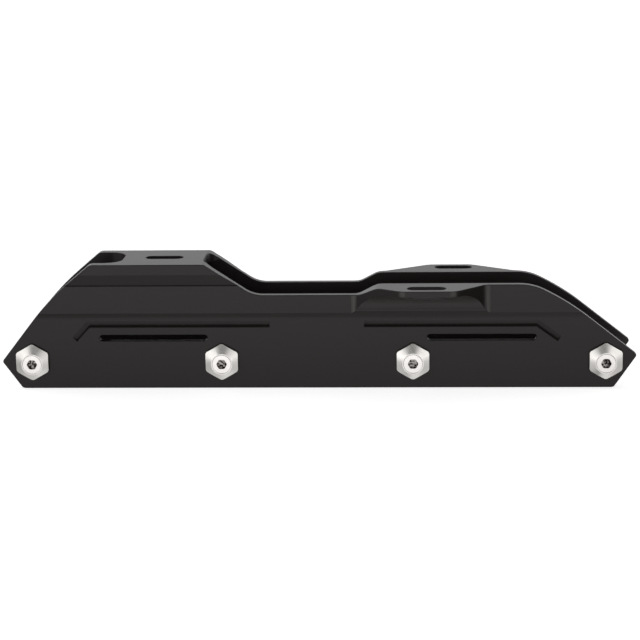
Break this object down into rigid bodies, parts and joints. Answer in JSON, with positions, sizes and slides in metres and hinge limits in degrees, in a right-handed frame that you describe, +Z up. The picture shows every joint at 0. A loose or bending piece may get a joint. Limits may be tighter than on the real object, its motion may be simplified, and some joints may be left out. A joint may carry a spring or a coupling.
{
  "type": "inline skate frame",
  "caption": "Milled aluminium inline skate frame with side plates, a heel platform, two slotted front wings and pull-out wheel axles in hex inserts.",
  "frame": {"origin": "on the ground line under the middle of the wheelbase, midway between the side plates", "axes": "+X towards the toe, +Y to the skater's left, +Z up out of the mounting faces"},
  "size_m": [0.3205, 0.0678, 0.0645],
  "materials": {
    "black_anodised_aluminium": "satin black anodised",
    "turned_aluminium": "bright turned",
    "axle_steel": "bright zinc plated"
  },
  "bodies": {
    "frame": {"frame_body": "black_anodised_aluminium", "head_insert_1": "turned_aluminium", "head_insert_2": "turned_aluminium", "head_insert_3": "turned_aluminium", "head_insert_4": "turned_aluminium", "nut_insert_1": "turned_aluminium", "nut_insert_2": "turned_aluminium", "nut_insert_3": "turned_aluminium", "nut_insert_4": "turned_aluminium"},
    "axle_1": {"axle_1": "axle_steel"},
    "axle_2": {"axle_2": "axle_steel"},
    "axle_3": {"axle_3": "axle_steel"},
    "axle_4": {"axle_4": "axle_steel"}
  },
  "joints": [
    {"name": "axle_1_pull", "type": "slide", "parent": "frame", "child": "axle_1", "axis": [0, -1, 0], "range_m": [0, 0.045]},
    {"name": "axle_2_pull", "type": "slide", "parent": "frame", "child": "axle_2", "axis": [0, -1, 0], "range_m": [0, 0.045]},
    {"name": "axle_3_pull", "type": "slide", "parent": "frame", "child": "axle_3", "axis": [0, -1, 0], "range_m": [0, 0.045]},
    {"name": "axle_4_pull", "type": "slide", "parent": "frame", "child": "axle_4", "axis": [0, -1, 0], "range_m": [0, 0.045]}
  ]
}
